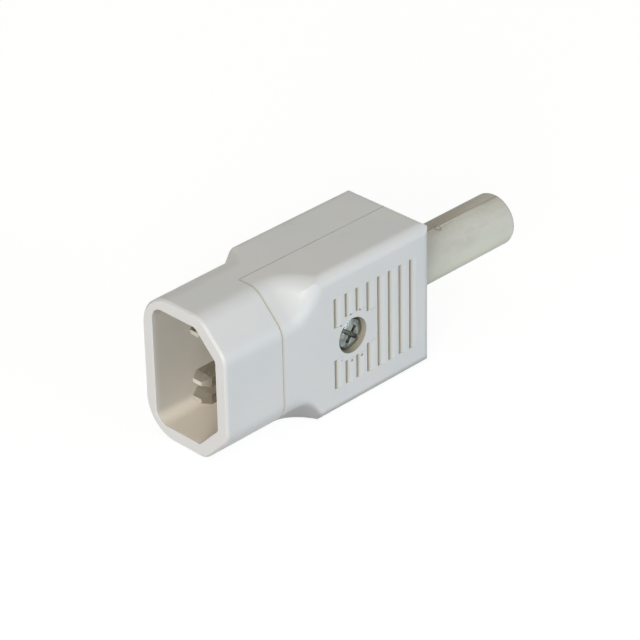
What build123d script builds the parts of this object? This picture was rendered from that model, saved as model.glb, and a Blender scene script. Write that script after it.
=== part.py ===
"""Rewirable inline appliance plug with a shrouded three-blade front and a clamshell grip body.

Frame, in millimetres: X runs along the plug from the front rim (X = 0) to the cord end,
Y = 0 is the parting plane of the two half shells with the cover on the -Y side,
Z is up and the plug stands on its long narrow side.
"""

from build123d import *
from math import radians, tan
import os

os.makedirs("parts", exist_ok=True)

# Body envelope
body_half_y = 11.0
body_half_z = 15.05
body_end_x = 53.3
draft_angle = 0.4              # degrees, on the four flat sides of the shroud
edge_round = 2.1               # long edges of the cover and the edges round the rear face
far_edge_round = 2.6           # long edges of the far half
far_rear_round = 3.0           # upright edge between the far side and the rear face
rim_bevel = 0.4

# Shroud corners: flat facets on the cover side, round on the far side
facet_leg = 6.5                # what the facet cuts off each side of the square corner
facet_round = 4.5
facet_run_start_x = 16.4       # where the facet starts to run out to the square body
facet_run_length = 5.8
run_over = 0.1                 # the run-outs end this far outside the square corner
far_round = 7.5
far_run_delay = 1.6            # the far corners start to flare this far behind the facets
far_run_length = 5.0

# Mating cavity and the wall that carries the blades
cavity_half_y = 8.2
cavity_half_z = 12.25
cavity_depth = 17.0
cavity_facet = 5.0
cavity_facet_round = 1.0
cavity_far_round = 2.65
mouth_bevel = 0.12
pin_wall = 3.0

# Shell walls and the joint between the halves
wall = 2.0
rear_wall = 3.0
inside_round = 1.2             # facet edges inside the wiring space
lip_overlap = 3.0              # how far the cover's lip reaches over the cavity
lip_thickness = 1.0
seam_gap = 0.14
seam_depth = 0.35
fit = 0.05                     # running clearance on each side

# Grip grooves: a narrow slot with a short ramp behind it
groove_count = 8
groove_rear_margin = 5.8       # last groove to the rear face
groove_pitch = 2.85
groove_width = 0.8
groove_depth = 0.85
groove_half_length = 9.6
ramp_depth = 0.16
ramp_length = 1.1
groove_inner_ends = (3.4, 4.65, 4.65, 3.4)   # the first four stop short of the screw

# Cover screw and its posts
screw_offset = 4.5             # behind the first groove
recess_radius = 3.62
head_radius = 3.4
head_height = 2.1
head_sink = 0.55
crown = ((1.9, 0.0), (2.9, 0.3), (3.4, 0.9))   # radius and drop of the domed face
cover_shank_radius = 1.7
cover_screw_reach = 5.4        # past the parting plane
tip_room = 0.5                 # free hole past a screw's tip
post_radius = 3.3
seat_post_radius = 4.9
slot_width = 0.8
slot_depth = 1.2
slot_turn = 38.0               # degrees the slot is turned from the X direction
cross_span = 3.6
cross_width = 0.85
cross_depth = 1.4
cross_taper = 12.0

# Blades
blade_width = 4.0
blade_thick = 2.0
blade_bevel = 1.8
blade_tip_width = 2.2
blade_tip_thick = 0.85
side_blade_z = 7.0
side_blade_y = 2.0
side_blade_tip_x = 4.6
earth_blade_y = -2.0
earth_blade_tip_x = 1.15

# Terminal blocks behind the blades
block_length = 7.6
earth_block_length = 6.0       # shorter, to leave room for its wire in front of the post
block_width = 5.6
block_height = 7.0
block_bevel = 0.4
wire_bore_radius = 1.35
wire_bore_offset = 0.6         # wire bore below the blade's middle, under the screw's tip
wire_bore_stop = 2.0           # solid left between the wire bore and the blade wall
terminal_offset = 3.6          # screw axis behind the blade wall, the same on all three
terminal_hole_radius = 1.5
terminal_shank_radius = 1.45
terminal_shank_length = 2.6
terminal_head_radius = 2.1
terminal_head_height = 1.6
screw_slot = 0.6
rib_half = 1.2                 # ribs that hold the blocks from both sides
rib_inset = 1.0
stop_rib = 0.9

# Cord clamp
clamp_to_rear_wall = 6.8
clamp_head_room = 0.55         # from a screw head to the arch of the strap
clamp_post_radius = 2.5
clamp_post_top_y = 1.4
saddle_length = 7.0
saddle_thick = 1.8
saddle_ear = 2.1               # strap past the screw axis
saddle_corner = 0.8
cord_radius = 3.45
clamp_shank_radius = 1.4
clamp_screw_reach = 6.0
clamp_head_radius = 2.5
clamp_head_height = 1.9

# Bend protection sleeve
sleeve_radius = 5.4
sleeve_length = 30.0           # outside the body
sleeve_flange_radius = 6.4
sleeve_flange_thick = 1.8
sleeve_bore_radius = 3.5
sleeve_tip_bevels = ((0.6, 0.0), (0.2, 0.2), (0.0, 0.6))   # back from the end, in from the side

facet_sum = body_half_y + body_half_z - facet_leg   # |y| + |z| on the outer facets
facet_run_rise = facet_leg / 2 ** 0.5 + run_over
far_run_start_x = facet_run_start_x + far_run_delay
pin_wall_end_x = cavity_depth + pin_wall
lip_front_x = cavity_depth - lip_overlap
inner_half_y = body_half_y - wall
inner_half_z = body_half_z - wall
rear_wall_x = body_end_x - rear_wall
groove_first_x = body_end_x - groove_rear_margin - (groove_count - 1) * groove_pitch
screw_x = groove_first_x + screw_offset
screw_seat_y = -body_half_y + head_sink + head_height
terminal_x = pin_wall_end_x + terminal_offset
clamp_x = rear_wall_x - clamp_to_rear_wall
clamp_screw_z = cord_radius + saddle_thick + clamp_head_room + clamp_head_radius
saddle_top_y = clamp_post_top_y - saddle_thick
sleeve_end_x = body_end_x + sleeve_length
upper_blade = (side_blade_z, side_blade_y)
lower_blade = (-side_blade_z, side_blade_y)
earth_blade = (0.0, earth_blade_y)
past = 2.0                     # how far cutting tools reach past the part


def save(shape, node):
    """Write one node as a STEP file."""
    export_step(shape, f"parts/{node}.step")


def block(x0, x1, y0, y1, z0, z1):
    """Box from its two corners."""
    size = Box(x1 - x0, y1 - y0, z1 - z0)
    return Pos((x0 + x1) / 2, (y0 + y1) / 2, (z0 + z1) / 2) * size


def rod_y(radius, x, z, y0, y1):
    """Cylinder along Y between two heights."""
    return extrude(Plane((x, y0, z), x_dir=(1, 0, 0), z_dir=(0, 1, 0)) * Circle(radius), y1 - y0)


def rod_x(radius, y, z, x0, x1):
    """Cylinder along X between two stations."""
    return extrude(Plane((x0, y, z), x_dir=(0, 1, 0), z_dir=(1, 0, 0)) * Circle(radius), x1 - x0)


def front_profile(half_y, half_z, facet, far_radius, near_radius):
    """Section of the shroud: facets on the -Y corners, rounds on the +Y corners."""
    outline = make_face(Polyline(
        (half_y, -half_z), (half_y, half_z), (facet - half_y, half_z), (-half_y, half_z - facet),
        (-half_y, facet - half_z), (facet - half_y, -half_z), close=True))
    outline = fillet(outline.vertices().filter_by(lambda v: v.X > 0), far_radius)
    return Plane.YZ * fillet(outline.vertices().filter_by(lambda v: v.X < 0), near_radius)


def run_arc(start_x, level, length, rise):
    """Arc that leaves a line at level tangentially and climbs by rise over length."""
    radius = (length ** 2 + rise ** 2) / (2 * rise)
    return RadiusArc((start_x, level), (start_x + length, level + rise), -radius)


def facet_cutter(side):
    """Removes the box corner outside one facet and lets it run out to the square body."""
    end_x = facet_run_start_x + facet_run_length
    top = 2 * facet_run_rise
    section = make_face([
        Line((-past, 0), (facet_run_start_x, 0)),
        run_arc(facet_run_start_x, 0, facet_run_length, facet_run_rise),
        Polyline((end_x, facet_run_rise), (end_x, top), (-past, top), (-past, 0))])
    outward = Vector(0, -1, side).normalized()
    plane = Plane((0, -facet_sum / 2, side * facet_sum / 2), x_dir=(1, 0, 0),
                  z_dir=Vector(1, 0, 0).cross(outward))
    return extrude(plane * section, body_half_z, both=True)


def far_cutter(side):
    """Rounds one far corner of the shroud, flaring out to the square body."""
    rise = far_round * (2 ** 0.5 - 1) + run_over
    end_x = far_run_start_x + far_run_length
    front_radius = far_round - (facet_run_start_x + past) * tan(radians(draft_angle))
    section = make_face([
        Polyline((end_x, far_round + rise), (end_x, 2 * far_round), (end_x + past, 2 * far_round),
                 (end_x + past, 0), (-past, 0), (-past, front_radius), (facet_run_start_x, far_round),
                 (far_run_start_x, far_round)),
        run_arc(far_run_start_x, far_round, far_run_length, rise)])
    core = revolve(Plane.XY * section, Axis.X)
    reach = far_round + past
    tool = block(-past / 2, end_x + past / 2, 0, reach, 0, reach) - core
    if side < 0:
        tool = mirror(tool, Plane.XY)
    return Pos(0, body_half_y - far_round, side * (body_half_z - far_round)) * tool


def facet_edges(shape):
    """Edges where the facets and their run-outs meet the flat sides."""
    draft_drop = facet_run_start_x * tan(radians(draft_angle))
    end_x = facet_run_start_x + facet_run_length
    edges = shape.edges().filter_by(
        lambda e: e.length > facet_run_length and rim_bevel < e.center().X < end_x)
    on_side = edges.filter_by(
        lambda e: body_half_y + e.center().Y < draft_drop
        and edge_round < abs(e.center().Z) < body_half_z - edge_round)
    on_top = edges.filter_by(
        lambda e: body_half_z - abs(e.center().Z) < draft_drop
        and edge_round - body_half_y < e.center().Y < -edge_round)
    return on_side + on_top


def envelope():
    """Outer shape of the two half shells together, before grooves and holes."""
    front_plane = Plane((facet_run_start_x, 0, 0), x_dir=(0, 1, 0), z_dir=(-1, 0, 0))
    shape = extrude(front_plane * Rectangle(2 * body_half_y, 2 * body_half_z), facet_run_start_x,
                    taper=draft_angle)
    shape += block(facet_run_start_x, body_end_x, -body_half_y, body_half_y, -body_half_z, body_half_z)
    shape -= facet_cutter(1) + facet_cutter(-1) + far_cutter(1) + far_cutter(-1)
    shape = fillet(facet_edges(shape), facet_round)
    square = block(-past, body_end_x, -body_half_y, body_half_y, -body_half_z, body_half_z)
    near, far = square.edges().filter_by(Axis.X).group_by(Axis.Y)
    rear = square.edges().group_by(Axis.X)[-1]
    near_rear, far_rear = rear.filter_by(Axis.Z).group_by(Axis.Y)
    for edges, radius in ((near, edge_round), (far, far_edge_round), (rear.filter_by(Axis.Y), edge_round),
                          (near_rear, edge_round), (far_rear, far_rear_round)):
        shape &= fillet(edges, radius)
    return chamfer(shape.edges().filter_by(lambda e: e.center().X < run_over), rim_bevel)


def cavity():
    """Space inside the shroud."""
    profile = front_profile(cavity_half_y, cavity_half_z, cavity_facet, cavity_far_round,
                            cavity_facet_round)
    mouth_plane = Plane((mouth_bevel, 0, 0), x_dir=(0, 1, 0), z_dir=(-1, 0, 0))
    mouth = extrude(mouth_plane * Plane.YZ.to_local_coords(profile), 2 * mouth_bevel, taper=-45)
    return extrude(profile, cavity_depth) + mouth


def inset_profile(depth, near_radius):
    """Shroud section moved inward by a wall thickness."""
    half_y = body_half_y - depth
    half_z = body_half_z - depth
    facet = half_y + half_z - (facet_sum - depth * 2 ** 0.5)
    return front_profile(half_y, half_z, facet, far_round - depth, near_radius)


def compartment():
    """Wiring space behind the blade wall; its front corners follow the shroud's facets."""
    front = Pos(pin_wall_end_x, 0, 0) * extrude(inset_profile(wall, inside_round),
                                                rear_wall_x - pin_wall_end_x)
    box_x = facet_run_start_x + facet_run_length + wall
    rear = block(box_x, rear_wall_x, -inner_half_y, inner_half_y, -inner_half_z, inner_half_z)
    return front + rear


def grip_tool(index, face_y, segments):
    """One grip groove: a straight slot, then a short ramp back up to the face."""
    out = 1 if face_y > 0 else -1
    x0 = groove_first_x + index * groove_pitch - groove_width / 2
    x1 = x0 + groove_width
    floor = face_y - out * groove_depth
    step = face_y - out * ramp_depth
    above = face_y + out * past
    profile = make_face(Polyline((x0, above), (x0, floor), (x1, floor), (x1, step),
                                 (x1 + ramp_length, face_y), (x1 + ramp_length, above), close=True))
    tool = Part()
    for z0, z1 in segments:
        tool += extrude(Plane.XY.offset(z0) * profile, z1 - z0)
    return tool


def grip(face_y, interrupted):
    """All the grooves on one side; the first ones stop short of the screw recess."""
    tool = Part()
    for index in range(groove_count):
        if interrupted and index < len(groove_inner_ends):
            inner = groove_inner_ends[index]
            segments = ((-groove_half_length, -inner), (inner, groove_half_length))
        else:
            segments = ((-groove_half_length, groove_half_length),)
        tool += grip_tool(index, face_y, segments)
    return tool


def seam_groove(side):
    """Fine relief along the parting line on the top or underside."""
    z = side * body_half_z
    return block(lip_front_x, body_end_x + past, -seam_gap / 2, seam_gap / 2,
                 min(z, z - side * seam_depth), max(z + side, z - side * seam_depth))


def make_body(outer):
    """Shroud, blade wall and far half shell: one moulding."""
    near = block(lip_front_x, body_end_x + past, -body_half_y - past, 0, -body_half_z - past,
                 body_half_z + past)
    rebate = Pos(lip_front_x - lip_thickness, 0, 0) * extrude(
        inset_profile(lip_thickness + fit, facet_round - lip_thickness),
        pin_wall_end_x - lip_front_x + lip_thickness)
    body = outer - near + rebate - cavity() - compartment()
    for z, y in (upper_blade, lower_blade, earth_blade):
        slot_y = blade_width / 2 + fit
        slot_z = blade_thick / 2 + fit
        body -= block(cavity_depth - past, pin_wall_end_x + past, y - slot_y, y + slot_y, z - slot_z,
                      z + slot_z)
        seat_y = y + block_height / 2
        body += block(pin_wall_end_x + rib_inset, pin_wall_end_x + earth_block_length - rib_inset, seat_y,
                      inner_half_y + fit, z - rib_half, z + rib_half)
    # cover-screw post, standing on the far wall
    body += rod_y(post_radius, screw_x, 0, 0, inner_half_y + fit)
    body -= rod_y(cover_shank_radius + fit, screw_x, 0, -past, cover_screw_reach + tip_room)
    # cord clamp: two posts and a trough for the cord
    trough = block(clamp_x - saddle_length / 2, clamp_x + saddle_length / 2, clamp_post_top_y,
                   inner_half_y + fit, -clamp_screw_z, clamp_screw_z)
    trough -= rod_x(cord_radius, 0, 0, clamp_x - saddle_length, clamp_x + saddle_length)
    body += trough
    for z in (-clamp_screw_z, clamp_screw_z):
        body += rod_y(clamp_post_radius, clamp_x, z, clamp_post_top_y, inner_half_y + fit)
        body -= rod_y(clamp_shank_radius + fit, clamp_x, z, 0, clamp_screw_reach + tip_room)
    body -= rod_x(sleeve_radius + fit, 0, 0, rear_wall_x - past, body_end_x + past)
    body -= grip(body_half_y, False)
    body -= seam_groove(1) + seam_groove(-1)
    return body


def make_cover(outer):
    """Near half shell with the lip over the shroud, the grip and the screw recess."""
    near = block(lip_front_x + seam_gap, body_end_x + past, -body_half_y - past, 0,
                 -body_half_z - past, body_half_z + past)
    core = Pos(lip_front_x - lip_thickness, 0, 0) * extrude(
        inset_profile(lip_thickness, facet_round - lip_thickness),
        pin_wall_end_x + fit - lip_front_x + lip_thickness)
    cover = (outer & near) - core - compartment()
    for z, y in (upper_blade, lower_blade, earth_blade):
        top_y = y - block_height / 2
        cover += block(pin_wall_end_x + fit, pin_wall_end_x + fit + stop_rib, -inner_half_y - fit,
                       top_y, z - rib_half, z + rib_half)
    cover += rod_y(seat_post_radius, screw_x, 0, -inner_half_y - fit, screw_seat_y + wall)
    cover += rod_y(post_radius, screw_x, 0, -inner_half_y - fit, 0)
    cover -= rod_y(recess_radius, screw_x, 0, -body_half_y - past, screw_seat_y)
    cover -= rod_y(cover_shank_radius + 2 * fit, screw_x, 0, screw_seat_y - past, past)
    cover -= rod_x(sleeve_radius + fit, 0, 0, rear_wall_x - past, body_end_x + past)
    cover -= grip(-body_half_y, True)
    cover -= seam_groove(1) + seam_groove(-1)
    return cover


def blade_outline(plane, tip_x, tip_size, size):
    """One view of a blade, run out to both sides of its plane."""
    end_x = pin_wall_end_x + blade_bevel
    outline = Polyline((end_x, size / 2), (tip_x + blade_bevel, size / 2), (tip_x, tip_size / 2),
                       (tip_x, -tip_size / 2), (tip_x + blade_bevel, -size / 2), (end_x, -size / 2),
                       close=True)
    return extrude(plane * make_face(outline), blade_width, both=True)


def blade(z, y, tip_x):
    """Flat blade with a bevelled tip, reaching past the back of the blade wall."""
    plan = blade_outline(Plane.XY, tip_x, blade_tip_width, blade_width)
    side = blade_outline(Plane.XZ, tip_x, blade_tip_thick, blade_thick)
    return Pos(0, y, z) * (plan & side)


def make_pin(place, tip_x, length):
    """Blade and screw terminal block in one piece."""
    z, y = place
    end_x = pin_wall_end_x + length
    seat_y = y - block_height / 2
    pin = block(pin_wall_end_x, end_x, seat_y, y + block_height / 2, z - block_width / 2,
                z + block_width / 2)
    pin = chamfer(pin.edges().filter_by(Axis.Y), block_bevel)
    pin += blade(z, y, tip_x)
    pin -= rod_x(wire_bore_radius, y + wire_bore_offset, z, pin_wall_end_x + wire_bore_stop, end_x + past)
    return pin - rod_y(terminal_hole_radius, terminal_x, z, seat_y - past, y)


def slotted_screw(x, z, seat_y, radius, height, shank_radius, shank_length):
    """Cheese-head screw pointing in +Y with its head seated at seat_y."""
    face_y = seat_y - height
    slot = block(x - radius, x + radius, face_y - past, face_y + height / 2, z - screw_slot / 2,
                 z + screw_slot / 2)
    shank = rod_y(shank_radius, x, z, seat_y, seat_y + shank_length)
    return rod_y(radius, x, z, face_y, seat_y) - slot + shank


def make_cover_screw():
    """Pan-head screw with a straight slot and a cross recess."""
    face_y = screw_seat_y - head_height
    half = [(screw_x, face_y)] + [(screw_x + radius, face_y + drop) for radius, drop in crown]
    half += [(screw_x + head_radius, screw_seat_y), (screw_x, screw_seat_y)]
    head = revolve(Plane.XY * make_face(Polyline(*half, close=True)), Axis((screw_x, 0, 0), (0, 1, 0)))
    slot = block(-head_radius, head_radius, -past, slot_depth, -slot_width / 2, slot_width / 2)
    arms = Rectangle(cross_span, cross_width) + Rectangle(cross_width, cross_span)
    cross = extrude(Plane((0, 0, 0), x_dir=(1, 0, 0), z_dir=(0, 1, 0)) * arms, cross_depth,
                    taper=cross_taper)
    head -= Pos(screw_x, face_y, 0) * Rot(0, slot_turn, 0) * (slot + cross)
    return head + rod_y(cover_shank_radius, screw_x, 0, screw_seat_y, cover_screw_reach)


def make_saddle():
    """Strap that holds the cord down between the two clamp screws."""
    x0 = clamp_x - saddle_length / 2
    x1 = clamp_x + saddle_length / 2
    half_z = clamp_screw_z + saddle_ear
    strap = block(x0, x1, saddle_top_y, clamp_post_top_y, -half_z, half_z)
    strap = chamfer(strap.edges().filter_by(Axis.Y), saddle_corner)
    arch = rod_x(cord_radius + saddle_thick, 0, 0, x0, x1)
    arch -= block(x0, x1, clamp_post_top_y, body_half_y, -body_half_z, body_half_z)
    saddle = strap + arch - rod_x(cord_radius, 0, 0, x0, x1)
    for z in (-clamp_screw_z, clamp_screw_z):
        saddle -= rod_y(clamp_shank_radius + 2 * fit, clamp_x, z, saddle_top_y - past,
                        clamp_post_top_y + past)
    return saddle


def make_sleeve():
    """Bend protection sleeve with a flange held inside the rear wall."""
    flange_x = rear_wall_x - sleeve_flange_thick
    tip = [(sleeve_end_x - back, sleeve_radius - inward) for back, inward in sleeve_tip_bevels]
    half = make_face(Polyline(
        (flange_x, sleeve_bore_radius), (flange_x, sleeve_flange_radius),
        (rear_wall_x, sleeve_flange_radius), (rear_wall_x, sleeve_radius), *tip,
        (sleeve_end_x, sleeve_bore_radius), close=True))
    return revolve(Plane.XY * half, Axis.X)


outer_shape = envelope()
save(make_body(outer_shape), "plug_body")
save(make_cover(outer_shape), "body_cover")
for name, place, tip_x, length in (("line", upper_blade, side_blade_tip_x, block_length),
                                   ("neutral", lower_blade, side_blade_tip_x, block_length),
                                   ("earth", earth_blade, earth_blade_tip_x, earth_block_length)):
    save(make_pin(place, tip_x, length), f"{name}_pin")
    screw = slotted_screw(terminal_x, place[0], place[1] - block_height / 2, terminal_head_radius,
                          terminal_head_height, terminal_shank_radius, terminal_shank_length)
    save(screw, f"{name}_terminal_screw")
save(make_saddle(), "cord_clamp_saddle")
for name, z in (("upper", clamp_screw_z), ("lower", -clamp_screw_z)):
    screw = slotted_screw(clamp_x, z, saddle_top_y, clamp_head_radius, clamp_head_height,
                          clamp_shank_radius, clamp_screw_reach - saddle_top_y)
    save(screw, f"cord_clamp_screw_{name}")
save(make_cover_screw(), "cover_screw")
save(make_sleeve(), "bend_sleeve")
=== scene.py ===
import math
import bpy
from mathutils import Matrix, Vector


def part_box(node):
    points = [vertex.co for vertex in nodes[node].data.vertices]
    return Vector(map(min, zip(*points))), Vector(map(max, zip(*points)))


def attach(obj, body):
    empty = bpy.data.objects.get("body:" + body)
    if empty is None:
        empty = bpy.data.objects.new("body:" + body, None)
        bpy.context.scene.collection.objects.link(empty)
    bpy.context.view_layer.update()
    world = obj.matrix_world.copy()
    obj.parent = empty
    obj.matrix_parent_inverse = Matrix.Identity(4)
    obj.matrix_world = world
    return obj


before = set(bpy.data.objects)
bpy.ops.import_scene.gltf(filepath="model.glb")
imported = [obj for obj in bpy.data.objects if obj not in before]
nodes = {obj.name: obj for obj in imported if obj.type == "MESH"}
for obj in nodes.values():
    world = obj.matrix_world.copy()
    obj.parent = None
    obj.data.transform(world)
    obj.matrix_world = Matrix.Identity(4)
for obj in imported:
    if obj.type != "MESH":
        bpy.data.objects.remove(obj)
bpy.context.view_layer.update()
print("plug frame loaded:", len(nodes), "nodes")


# A socket that can be used in sums: values get Math nodes, vectors get Vector Math
class Wire:
    def __init__(self, sheet, socket):
        self.sheet = sheet
        self.socket = socket

    def combine(self, operation, *terms):
        kind = "ShaderNodeVectorMath" if self.socket.type == "VECTOR" else "ShaderNodeMath"
        return self.sheet.node(kind, {"operation": operation}, dict(enumerate(terms)))

    def __add__(self, other):
        return self.combine("ADD", self, other)

    def __radd__(self, other):
        return self.combine("ADD", other, self)

    def __sub__(self, other):
        return self.combine("SUBTRACT", self, other)

    def __rsub__(self, other):
        return self.combine("SUBTRACT", other, self)

    def __mul__(self, other):
        return self.combine("MULTIPLY", self, other)

    def __rmul__(self, other):
        return self.combine("MULTIPLY", other, self)

    def __pow__(self, other):
        return self.combine("POWER", self, other)

    def __rpow__(self, other):
        return self.combine("POWER", other, self)

    def __abs__(self):
        return self.combine("ABSOLUTE", self)


# The nodes of one material, or of the world
class Sheet:
    def __init__(self, owner):
        owner.use_nodes = True
        self.owner = owner
        self.tree = owner.node_tree
        self.tree.nodes.clear()

    def node(self, kind, settings, sockets, out=0):
        made = self.tree.nodes.new(kind)
        for key, value in settings.items():
            setattr(made, key, value)
        for key, value in sockets.items():
            self.feed(made.inputs[key], value)
        return made if out is None else Wire(self, made.outputs[out])

    def feed(self, socket, value):
        if isinstance(value, Wire):
            self.tree.links.new(value.socket, socket)
        elif socket.type == "RGBA":
            shade = value if isinstance(value, tuple) else (value,) * 3
            socket.default_value = (*shade, 1.0)
        elif socket.type == "VECTOR" and not isinstance(value, tuple):
            socket.default_value = (value,) * 3
        else:
            socket.default_value = value

    def tint(self, amount, first, second):
        return self.node("ShaderNodeMix", {"data_type": "RGBA"}, {0: amount, 6: first, 7: second}, 2)

    # 1 for the rays that show the background: to the camera, off metal and through glass
    def seen(self):
        path = self.node("ShaderNodeLightPath", {}, {}, None)
        seen = Wire(self, path.outputs["Is Camera Ray"])
        for ray in ("Is Glossy Ray", "Is Transmission Ray"):
            seen = seen.combine("MAXIMUM", seen, Wire(self, path.outputs[ray]))
        return seen

    def close(self, shader, output, sockets):
        self.node(output, {}, {"Surface": self.node(shader, {}, sockets)}, None)
        return self.owner

    def skin(self, sockets):
        return self.close("ShaderNodeBsdfPrincipled", "ShaderNodeOutputMaterial", sockets)


# A finish on the plug; x, y and z are places in the plug's own frame, in metres
class Finish(Sheet):
    def __init__(self, name):
        super().__init__(bpy.data.materials.new(name))
        self.where = self.node("ShaderNodeTexCoord", {}, {}, "Object")
        split = self.node("ShaderNodeSeparateXYZ", {}, {0: self.where}, None)
        self.x, self.y, self.z = (Wire(self, socket) for socket in split.outputs)

    # size is the width of one blotch, stretch makes it longer along an axis, shift moves the pattern
    def noise(self, size, detail=3.0, stretch=(1.0, 1.0, 1.0), shift=0.0):
        scale = tuple(1.0 / (size * part) for part in stretch)
        place = self.node("ShaderNodeMapping", {}, {"Vector": self.where, "Location": shift, "Scale": scale})
        return self.node("ShaderNodeTexNoise", {},
                         {"Vector": place, "Scale": 1.0, "Detail": detail, "Roughness": 0.55}, "Fac")

    # goes softly from one end to the other while the value crosses the span, which may run downwards
    def ramp(self, value, span, ends=(0.0, 1.0)):
        return self.node("ShaderNodeMapRange", {"interpolation_type": "SMOOTHSTEP"},
                         {"Value": value, "From Min": span[0], "From Max": span[1],
                          "To Min": ends[0], "To Max": ends[1]})

    def fall(self, value, span):
        return self.ramp(value, span, (1.0, 0.0))

    # 1 up to half on both sides of the middle, then 0 after the soft edge
    def band(self, value, middle, half, soft):
        return self.fall(abs(value - middle), (half, half + soft))

    # distance from a point, along the axes that count
    def away(self, point, axes):
        offset = (self.where - point) * axes
        return self.node("ShaderNodeVectorMath", {"operation": "LENGTH"}, {0: offset}, "Value")

    # a noise that swings evenly to both sides of zero
    def swing(self, noise, amount):
        return (noise - 0.5) * amount

    # lays a layer, which is a tone and how strongly it covers, where the mask is 1
    def coat(self, base, mask, layer):
        tone, cover = layer
        return self.tint(mask * cover, base, tone)

    def bump(self, height, strength, distance, under=None):
        sockets = {"Height": height, "Strength": strength, "Distance": distance}
        if under:
            sockets["Normal"] = under
        return self.node("ShaderNodeBump", {}, sockets)


sideOn = (1.0, 0.0, 1.0)                              # distances as seen from the cover side
fromAbove = (1.0, 1.0, 0.0)


# White moulded shells: layers are tone and cover, spans are where a mask starts and ends,
# and bands are middle, half width and soft edge
shellLook = {
    "white": (0.735, 0.732, 0.712),
    "cool": ((0.70, 0.71, 0.70), 1.0),
    "deep": ((0.60, 0.565, 0.50), 0.12),
    "pocketShade": ((0.62, 0.59, 0.52), 0.9),              # walls of the cavity, painted darker as shade
    # painted light: the cavity floor lighter and warmer than the shell white
    "pocketFloorLight": ((1.0, 0.92, 0.81), 1.0),
    # painted light: the rim's front face, turned to the front lamp, lighter than the shell white
    "rim": ((0.93, 0.92, 0.90), 1.0),
    # painted shade: the floors of the grooves darker
    "grooveShade": ((0.60, 0.575, 0.49), 1.0),
    # painted shadow: faint lines along the ramp ends
    "rampEndShadow": ((0.60, 0.575, 0.49), 0.5),
    # painted shade: the screw recess darker
    "recessShade": ((0.47, 0.43, 0.34), 1.0),
    "lip": ((0.68, 0.645, 0.57), 0.8),
    # painted shade: the downward-facing lower corner ramp darker
    "lowRampShade": ((0.36, 0.35, 0.335), 0.85),
    # painted shade: the lowest edge darker
    "lowEdgeShade": ((0.36, 0.35, 0.335), 0.7),
    # painted shade: the rounded rear edge darker
    "rearEdgeShade": ((0.36, 0.35, 0.335), 0.4),
    "grime": ((0.50, 0.46, 0.39), 1.0),
    "fleck": ((0.16, 0.15, 0.13), 0.8),

    "broadSize": 0.016,
    "cloudSize": 0.0035,
    "grainSize": 0.00016,
    "sinkSize": 0.011,
    "coolSpan": (0.35, 0.7),
    "deepSpan": (0.62, 0.78),

    "coverSideY": (-0.002, -0.006),
    "underFaceY": (0.01078, 0.01094),
    "grooveFloorY": (0.0074, 0.0078),
    "gripFrontX": (0.0269, 0.0271),
    "gripRearX": (0.0487, 0.0489),
    "gripZ": (0.0, 0.0097, 0.0001),
    "screwAt": (0.03205, 0.0, 0.0),
    "recessRadius": (0.0037, 0.0038),

    "flecks": (                                       # x, z, radius
        (0.0291, -0.0041, 0.00030), (0.0318, -0.0053, 0.00036), (0.0344, -0.0053, 0.00038),
        (0.0340, 0.0046, 0.00030), (0.0290, 0.0033, 0.00030), (0.0316, 0.0046, 0.00028),
    ),
    "fleckSoft": 0.00018,
    "fleckY": (-0.0100, -0.0108),
    "ragged": 0.0004,

    "rampEndX": (0.0289, 0.00050, 0.00040),
    "rampEndY": (-0.0100, -0.0106),
    "rampEndLine": (0.00008, 0.00016),
    "rampEndZ": (0.0034, 0.00465, 0.00465, 0.0034),   # behind each short groove in turn
    "groovePitch": 0.00285,

    "cavityEndX": (0.0172, 0.0175),
    "cavityY": (0.0, 0.0083, 0.0001),
    "cavityZ": (0.0, 0.01235, 0.0001),
    "cavityFacet": (0.0156, 0.0158),                  # height less y, along the two cut corners
    "mouthX": (0.0001, 0.0015),
    "floorMouthX": (0.0001, 0.0003),
    "cavityFloorZ": (-0.0100, -0.0118),

    "lipX": (0.01417, 0.00028, 0.00016),
    "nearHalfY": (0.0001, -0.0001),
    "jointX": (0.0143, 0.0145),
    "jointY": (0.0, 0.00007, 0.00012),
    "grimeSpan": (0.35, 0.6),
    "grimeEnds": (0.2, 0.5),

    "lowRampX": (0.0200, 0.0034, 0.0026),
    "lowRampZ": (-0.0084, -0.0104),
    "lowRampPeak": 0.0190,
    "lowRampCurve": 190.0,
    "behindRimX": (0.0002, 0.0009),
    "lowEdgeZ": (-0.0126, -0.0142),
    "rearEdgeX": (0.0521, 0.0531),
    "rimX": (0.00008, 0.00002),

    "roughness": 0.42,
    "cloudRoughness": 0.14,
    "grainRoughness": 0.10,
    "sinkBump": (0.25, 0.00012),
    "grainBump": (0.22, 0.00001),
    "plastic": {"IOR": 1.49, "Subsurface Weight": 0.06, "Subsurface Radius": (1.0, 0.7, 0.45),
                "Subsurface Scale": 0.0012},
}


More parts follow.
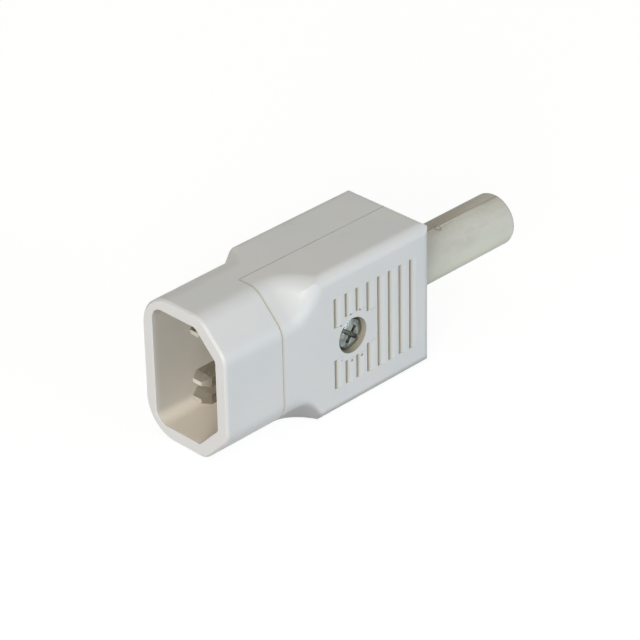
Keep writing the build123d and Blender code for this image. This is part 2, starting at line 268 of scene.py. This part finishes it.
# painted shade in the grooves, the screw recess and along the ramp ends, and flecks of dirt, on the grip faces
def gripShadeAndDirtMasks(sheet, look):
    coverSide = sheet.ramp(sheet.y, look["coverSideY"])
    below = sheet.fall(abs(sheet.y), look["underFaceY"])
    # painted shade on the groove floors
    grooveShade = below * sheet.ramp(abs(sheet.y), look["grooveFloorY"]) * sheet.band(sheet.z, *look["gripZ"]) \
        * sheet.ramp(sheet.x, look["gripFrontX"]) * sheet.fall(sheet.x, look["gripRearX"])
    # painted shade in the screw recess
    recessShade = below * coverSide * sheet.fall(sheet.away(look["screwAt"], sideOn), look["recessRadius"])

    # painted shadow lines along the end edges of the shallow ramps behind the short grooves
    rampEndShadow = 0.0
    firstX, halfX, softX = look["rampEndX"]
    for step, height in enumerate(look["rampEndZ"]):
        line = sheet.band(abs(sheet.z), height, *look["rampEndLine"])
        rampEndShadow = line * sheet.band(sheet.x, firstX + look["groovePitch"] * step, halfX, softX) + rampEndShadow
    rampEndShadow = rampEndShadow * coverSide * sheet.ramp(sheet.y, look["rampEndY"])

    # flecks of dirt round the recess and the inner ends of the grooves
    fleck = 0.0
    ragged = sheet.noise(look["ragged"], detail=2.0, shift=9.0) * look["ragged"]
    for fleckX, fleckZ, radius in look["flecks"]:
        away = sheet.away((fleckX, 0.0, fleckZ), sideOn) + ragged
        fleck = sheet.fall(away, (radius, radius + look["fleckSoft"])) + fleck
    fleck = fleck * sheet.ramp(sheet.y, look["fleckY"])
    return grooveShade, rampEndShadow, recessShade, fleck


# painted shade on the cavity behind the rim, and painted light on its lower wall alone
def cavityShadeAndLightMasks(sheet, look):
    inside = sheet.fall(sheet.x, look["cavityEndX"]) * sheet.band(sheet.y, *look["cavityY"]) \
        * sheet.band(sheet.z, *look["cavityZ"]) * sheet.fall(abs(sheet.z) - sheet.y, look["cavityFacet"])
    # painted shade: the cavity walls darker from the mouth inwards
    pocketShade = inside * sheet.ramp(sheet.x, look["mouthX"])
    # painted light on the cavity floor
    pocketFloorLight = inside * sheet.ramp(sheet.x, look["floorMouthX"]) * sheet.ramp(sheet.z, look["cavityFloorZ"])
    return pocketShade, pocketFloorLight


# painted shade on the lower corner ramp on the cover side, and on the edge that the plug stands on
def lowShadeMasks(sheet, look):
    arch = sheet.z + (sheet.x - look["lowRampPeak"]) ** 2.0 * look["lowRampCurve"]
    # painted shade on the lower corner ramp
    lowRampShade = sheet.ramp(arch, look["lowRampZ"]) * sheet.band(sheet.x, *look["lowRampX"]) \
        * sheet.ramp(sheet.y, look["coverSideY"])
    # painted shade along the lowest edge
    lowEdgeShade = sheet.ramp(sheet.z, look["lowEdgeZ"]) * sheet.ramp(sheet.x, look["behindRimX"])
    return lowRampShade, lowEdgeShade


def shellWhite(name, look, shift):
    sheet = Finish(name)
    broad = sheet.noise(look["broadSize"], detail=2.0, shift=shift)
    cloud = sheet.noise(look["cloudSize"], detail=4.0, shift=shift + 3.0)
    grain = sheet.noise(look["grainSize"], detail=2.0, shift=shift)
    grooveShade, rampEndShadow, recessShade, fleck = gripShadeAndDirtMasks(sheet, look)
    pocketShade, pocketFloorLight = cavityShadeAndLightMasks(sheet, look)
    lowRampShade, lowEdgeShade = lowShadeMasks(sheet, look)
    joint = sheet.band(sheet.y, *look["jointY"]) * sheet.ramp(sheet.x, look["jointX"])
    layers = {                                        # laid on in this order
        "cool": sheet.ramp(broad, look["coolSpan"]),
        "deep": sheet.ramp(cloud, look["deepSpan"]),
        "pocketShade": pocketShade,
        "pocketFloorLight": pocketFloorLight,
        # painted light on the rim's front face
        "rim": sheet.ramp(sheet.x, look["rimX"]),
        "grooveShade": grooveShade,
        "rampEndShadow": rampEndShadow,
        "recessShade": recessShade,
        "lip": sheet.band(sheet.x, *look["lipX"]) * sheet.ramp(sheet.y, look["nearHalfY"]),
        "lowRampShade": lowRampShade,
        "lowEdgeShade": lowEdgeShade,
        # painted shade on the rear edge
        "rearEdgeShade": sheet.ramp(sheet.x, look["rearEdgeX"]),
        "grime": joint * sheet.ramp(cloud, look["grimeSpan"], look["grimeEnds"]),
        "fleck": fleck,
    }
    tone = look["white"]
    for layer, mask in layers.items():
        tone = sheet.coat(tone, mask, look[layer])
    rough = look["roughness"] + sheet.swing(cloud, look["cloudRoughness"]) \
        + sheet.swing(grain, look["grainRoughness"])
    sink = sheet.bump(sheet.noise(look["sinkSize"], detail=1.0, shift=shift), *look["sinkBump"])
    return sheet.skin({"Base Color": tone, "Roughness": rough,
                       "Normal": sheet.bump(grain, *look["grainBump"], sink), **look["plastic"]})


# Nickel-plated blades, dulled, with rubbed tips
bladeLook = {
    "nickel": (0.68, 0.63, 0.53),
    "dullTone": (0.50, 0.45, 0.365),
    "dullSize": 0.0022,
    "dullSpan": (0.45, 0.7),
    "dullMost": 0.6,
    "rubbedTone": (0.80, 0.76, 0.68),
    "rubbedSize": 0.0007,
    "rubbedStretch": (6.0, 1.0, 1.0),
    "rubbedSpan": (0.4, 0.6),
    "rubbedMost": 0.3,
    "tipX": (0.0062, 0.0102),
    "scratchSize": 0.00009,
    "scratchStretch": (40.0, 1.0, 1.0),
    "scratchBump": (0.25, 0.000006),
    "roughness": 0.42,
    "dullRoughness": 0.18,
    "scratchRoughness": 0.22,
    "rubbedPolish": 0.08,
}


def bladeNickel(name, look):
    sheet = Finish(name)
    drawn = sheet.noise(look["scratchSize"], detail=2.0, stretch=look["scratchStretch"])
    rub = sheet.noise(look["rubbedSize"], stretch=look["rubbedStretch"], shift=5.0)
    dull = sheet.ramp(sheet.noise(look["dullSize"], detail=4.0), look["dullSpan"], (0.0, look["dullMost"]))
    nearTip = sheet.ramp(sheet.x, look["tipX"], (look["rubbedMost"], 0.0))
    rubbed = nearTip * sheet.ramp(rub, look["rubbedSpan"])
    tone = sheet.tint(rubbed, sheet.tint(dull, look["nickel"], look["dullTone"]), look["rubbedTone"])
    rough = look["roughness"] + dull * look["dullRoughness"] + sheet.swing(drawn, look["scratchRoughness"]) \
        - rubbed * look["rubbedPolish"]
    return sheet.skin({"Base Color": tone, "Metallic": 1.0, "Roughness": rough,
                       "Normal": sheet.bump(drawn, *look["scratchBump"])})


# Zinc-plated screws, with turning rings round each screw's own axis
screwLook = {
    "zinc": (0.30, 0.325, 0.30),
    "blueTone": (0.15, 0.175, 0.17),
    "blueSize": 0.0011,
    "blueSpan": (0.4, 0.65),
    # tone of the pits, and of the painted shade in the slot
    "pitAndSlotShadeTone": (0.09, 0.095, 0.085),
    "pitSize": 0.00025,
    "pitSpan": (0.63, 0.74),
    "pitMost": 0.7,
    "ringScale": 9000.0,
    "ringBump": (0.15, 0.00001),
    "dentSize": 0.0006,
    "dentBump": (0.9, 0.00016),
    "slotTurn": -38.0,                                # degrees from +X towards +Z
    "slotEdge": (0.00042, 0.00047),
    "slotSpan": (0.0001, 0.0003),
    "slotEnds": (0.2, 0.8),                           # painted shade, darker at the slot's sides than along its middle
    "roughness": 0.21,
    "blueRoughness": 0.25,
    "pitRoughness": 0.2,
}


def screwZinc(name, look, screw):
    low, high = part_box(screw)
    middle = (low + high) / 2
    sheet = Finish(name)
    radius = sheet.away((middle.x, 0.0, middle.z), sideOn)
    rings = sheet.node("ShaderNodeTexNoise", {"noise_dimensions": "1D"},
                       {"W": radius, "Scale": look["ringScale"], "Detail": 2.0}, "Fac")
    patch = sheet.noise(look["blueSize"], detail=4.0)
    pit = sheet.ramp(sheet.noise(look["pitSize"], shift=2.0), look["pitSpan"], (0.0, look["pitMost"]))
    dents = sheet.bump(sheet.noise(look["dentSize"], shift=6.0), *look["dentBump"])
    tone = sheet.tint(sheet.ramp(patch, look["blueSpan"]), look["zinc"], look["blueTone"])
    tone = sheet.tint(pit, tone, look["pitAndSlotShadeTone"])
    if screw == "cover_screw":
        # painted shade: the slot across the cover screw's head darker
        turn = math.radians(look["slotTurn"])
        across = abs((sheet.z - middle.z) * math.cos(turn) - (sheet.x - middle.x) * math.sin(turn))
        slotShade = sheet.fall(across, look["slotEdge"]) * sheet.ramp(across, look["slotSpan"], look["slotEnds"])
        tone = sheet.tint(slotShade, tone, look["pitAndSlotShadeTone"])
    rough = look["roughness"] + sheet.swing(patch, look["blueRoughness"]) + pit * look["pitRoughness"]
    return sheet.skin({"Base Color": tone, "Metallic": 1.0, "Roughness": rough,
                       "Normal": sheet.bump(rings, *look["ringBump"], dents)})


# Soft grey-beige bend protection sleeve; layers, spans and bands as for the shells
sleeveLook = {
    "greyBeige": (0.615, 0.605, 0.53),
    "cloudy": ((0.42, 0.375, 0.30), 0.35),
    "bloom": ((0.72, 0.715, 0.65), 0.3),
    # painted light: the lower half of the sleeve lighter, fading out at the very bottom
    "low": ((0.86, 0.86, 0.70), 0.7),
    # painted shade: the top of the sleeve darker next to the body
    "root": ((0.42, 0.375, 0.30), 1.0),
    "beyondRidgeShade": ((0.42, 0.375, 0.30), 1.0),             # painted shade on the upper strip behind the parting ridge
    "gate": ((0.20, 0.18, 0.14), 0.4),

    "grainSize": 0.00022,
    "cloudSize": 0.004,
    "cloudStretch": (2.5, 1.0, 1.0),
    "bloomSize": 0.0014,
    "cloudySpan": (0.4, 0.7),
    "bloomSpan": (0.55, 0.75),
    "lowZ": (0.0022, -0.0025),
    "lowestZ": (-0.0049, -0.0040),
    "rootX": (0.0533, 0.0660),
    "rootEnds": (0.6, 0.0),
    "rootZ": (0.0005, 0.0036),
    "behindX": (0.0680, 0.0830),
    "behindEnds": (0.9, 0.4),
    "behindY": (-0.00094, -0.00074),
    "topZ": (0.0, 0.001),
    "gateAt": (0.0655, -0.0012, 0.0),
    "gateRing": (0.00062, 0.00014, 0.00014),

    "roughness": 0.58,
    "cloudRoughness": 0.16,
    "grainRoughness": 0.1,
    "cloudBump": (0.3, 0.0001),
    "grainBump": (0.35, 0.00002),
    "rubber": {"IOR": 1.45, "Sheen Weight": 0.12, "Sheen Roughness": 0.5},
}


def sleeveRubber(name, look):
    sheet = Finish(name)
    grain = sheet.noise(look["grainSize"])
    cloud = sheet.noise(look["cloudSize"], detail=4.0, stretch=look["cloudStretch"])
    bloom = sheet.noise(look["bloomSize"], detail=4.0, shift=7.0)
    top = sheet.ramp(sheet.z, look["topZ"])
    # painted shade on the upper far side of the sleeve, beyond the ridge
    beyondRidgeShade = sheet.ramp(sheet.y, look["behindY"]) * sheet.ramp(sheet.x, look["behindX"], look["behindEnds"])
    layers = {                                        # laid on in this order
        "cloudy": sheet.ramp(cloud, look["cloudySpan"]),
        "bloom": sheet.ramp(bloom, look["bloomSpan"]),
        # painted light on the sleeve's lower half
        "low": sheet.ramp(sheet.z, look["lowZ"]) * sheet.ramp(sheet.z, look["lowestZ"]),
        # painted shade on the sleeve's top next to the body
        "root": sheet.ramp(sheet.x, look["rootX"], look["rootEnds"]) * sheet.ramp(sheet.z, look["rootZ"]),
        "beyondRidgeShade": beyondRidgeShade * top,
        "gate": sheet.band(sheet.away(look["gateAt"], fromAbove), *look["gateRing"]) * top,
    }
    tone = look["greyBeige"]
    for layer, mask in layers.items():
        tone = sheet.coat(tone, mask, look[layer])
    rough = look["roughness"] + sheet.swing(cloud, look["cloudRoughness"]) \
        + sheet.swing(grain, look["grainRoughness"])
    normal = sheet.bump(grain, *look["grainBump"], sheet.bump(cloud, *look["cloudBump"]))
    return sheet.skin({"Base Color": tone, "Roughness": rough, "Normal": normal, **look["rubber"]})


def dress(node, material):
    slots = nodes[node].data.materials
    slots.clear()
    slots.append(material)


coverWhite = shellWhite("coverShellWhite", shellLook, 4.0)
nickel = bladeNickel("bladeNickel", bladeLook)
dress("plug_body", shellWhite("bodyShellWhite", shellLook, 0.0))
dress("body_cover", coverWhite)
dress("cord_clamp_saddle", coverWhite)
for pin in ("line_pin", "neutral_pin", "earth_pin"):
    dress(pin, nickel)
for screw in [name for name in nodes if "screw" in name]:
    dress(screw, screwZinc(screw + "Zinc", screwLook, screw))
sleeveGreyBeige = sleeveRubber("sleeveGreyBeige", sleeveLook)
dress("bend_sleeve", sleeveGreyBeige)
print("finishes on", len(nodes), "nodes")


def objectFrom(name, corners, faces, material):
    mesh = bpy.data.meshes.new(name)
    mesh.from_pydata(corners, [], faces)
    mesh.materials.append(material)
    made = bpy.data.objects.new(name, mesh)
    bpy.context.collection.objects.link(made)
    return made


def pieceFrom(name, corners, faces, material):
    piece = objectFrom(name, corners, faces, material)
    for face in piece.data.polygons:
        face.use_smooth = True
    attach(piece, "root")


def roundTurns(steps):
    angles = [2.0 * math.pi * step / steps for step in range(steps)]
    return [(math.cos(angle), math.sin(angle)) for angle in angles]


# joins rings of corners that follow each other
def ringFaces(rings, steps):
    faces = []
    for start in range(0, (rings - 1) * steps, steps):
        for step in range(steps):
            after = (step + 1) % steps
            faces.append((start + step, start + after, start + steps + after, start + steps + step))
    return faces


# Mould parting ridge along the sleeve; turn is in degrees from +Y towards +Z
ridgeLook = {"reach": 0.00533, "turn": 100.0, "radius": 0.00018, "steps": 10, "gap": 0.0006}


def sleeveRidge(look, material):
    turn = math.radians(look["turn"])
    middle = Vector((0.0, look["reach"] * math.cos(turn), look["reach"] * math.sin(turn)))
    ends = (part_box("plug_body")[1].x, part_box("bend_sleeve")[1].x - look["gap"])
    steps = look["steps"]
    corners = []
    for x in ends:
        for y, z in roundTurns(steps):
            corners.append(middle + Vector((x, look["radius"] * y, look["radius"] * z)))
    faces = ringFaces(len(ends), steps)
    faces += [tuple(range(steps))[::-1], tuple(range(steps, 2 * steps))]
    pieceFrom("sleeveRidge", corners, faces, material)


# Round gate mark beside the ridge; the profile is radius and height over the sleeve
gateLook = {
    "x": 0.0655, "reach": 0.0054, "turn": 103.0, "steps": 24,
    "profile": ((0.00078, -0.00015), (0.00074, 0.00006), (0.00060, 0.00009), (0.00050, 0.00002), (0.0, 0.0)),
}


def sleeveGate(look, material):
    turn = math.radians(look["turn"])
    outward = Vector((0.0, math.cos(turn), math.sin(turn)))
    sideways = Vector((0.0, -math.sin(turn), math.cos(turn)))
    along = Vector((1.0, 0.0, 0.0))
    seat = outward * look["reach"] + along * look["x"]
    corners = []
    for radius, height in look["profile"]:
        for ahead, aside in roundTurns(look["steps"]):
            corners.append(seat + outward * height + (along * ahead + sideways * aside) * radius)
    pieceFrom("sleeveGate", corners, ringFaces(len(look["profile"]), look["steps"]), material)


sleeveRidge(ridgeLook, sleeveGreyBeige)
sleeveGate(gateLook, sleeveGreyBeige)
print("ridge and gate mark on the sleeve")


# Pale floor that shows white to the camera and keeps the plug's shadow
floorLook = {"size": 6.0, "tone": 0.18, "lift": 0.90}


def paleFloor(look):
    sheet = Sheet(bpy.data.materials.new("paleFloor"))
    glow = sheet.tint(sheet.seen(), 0.0, look["lift"])
    sheet.skin({"Base Color": look["tone"], "Roughness": 1.0, "Specular IOR Level": 0.0,
                "Emission Color": glow, "Emission Strength": 1.0})
    half = look["size"] / 2
    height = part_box("plug_body")[0].z
    corners = [(x * half, y * half, height) for x, y in ((-1, -1), (1, -1), (1, 1), (-1, 1))]
    floor = objectFrom("floor", corners, [(0, 1, 2, 3)], sheet.owner)


# Dim light from all round, which the camera and the metal see as white
airLook = {"light": (0.355, 0.335, 0.295), "seen": (1.0, 1.0, 1.0)}


def paleAir(look):
    sheet = Sheet(bpy.data.worlds.new("paleAir"))
    glow = sheet.tint(sheet.seen(), look["light"], look["seen"])
    bpy.context.scene.world = sheet.close("ShaderNodeBackground", "ShaderNodeOutputWorld", {"Color": glow})


paleFloor(floorLook)
paleAir(airLook)
print("floor and air ready")


# Three soft lamps, far enough away for even light along the plug
lampLook = {
    "away": 1.6,
    "size": 0.8,
    "aim": (0.03, 0.0, 0.0),
    "lamps": {                                        # where the light comes from, watts, colour
        "front": {"from": (-0.78, -0.57, 0.27), "watts": 17.1, "tone": (0.98, 0.985, 1.0)},
        "side": {"from": (0.25, -0.95, 0.17), "watts": 9.2, "tone": (0.66, 0.82, 1.0)},
        "back": {"from": (0.13, 0.48, 0.87), "watts": 1.0, "tone": (0.85, 0.92, 1.0)},
    },
}


def softLamps(look):
    for name, light in look["lamps"].items():
        lamp = bpy.data.lights.new(name + "Lamp", "AREA")
        lamp.shape = "SQUARE"
        lamp.size = look["size"]
        lamp.energy = light["watts"]
        lamp.color = light["tone"]
        holder = bpy.data.objects.new(name + "Lamp", lamp)
        direction = Vector(light["from"]).normalized()
        holder.location = Vector(look["aim"]) + direction * look["away"]
        holder.rotation_euler = (-direction).to_track_quat("-Z", "Y").to_euler()
        bpy.context.collection.objects.link(holder)


softLamps(lampLook)
print("lamps placed")


# Long lens, in front of the rim on the cover side and above it
cameraLook = {
    "place": (-0.304954, -0.343571, 0.284079),
    "forward": (0.604523, 0.611921, -0.510004),
    "up": (0.37199, 0.349283, 0.860014),
    "lens": 168.75,
    "sensor": 36.0,
    "clip": (0.01, 20.0),
}


def plugCamera(look):
    view = bpy.data.cameras.new("plugView")
    view.lens = look["lens"]
    view.sensor_width = look["sensor"]
    view.clip_start, view.clip_end = look["clip"]
    forward = Vector(look["forward"]).normalized()
    right = forward.cross(Vector(look["up"])).normalized()
    turn = Matrix((right, right.cross(forward), -forward)).transposed()
    holder = bpy.data.objects.new("plugView", view)
    holder.matrix_world = Matrix.Translation(look["place"]) @ turn.to_4x4()
    bpy.context.collection.objects.link(holder)
    bpy.context.scene.camera = holder


plugCamera(cameraLook)
bpy.context.scene.view_settings.view_transform = "Standard"
print("camera set")
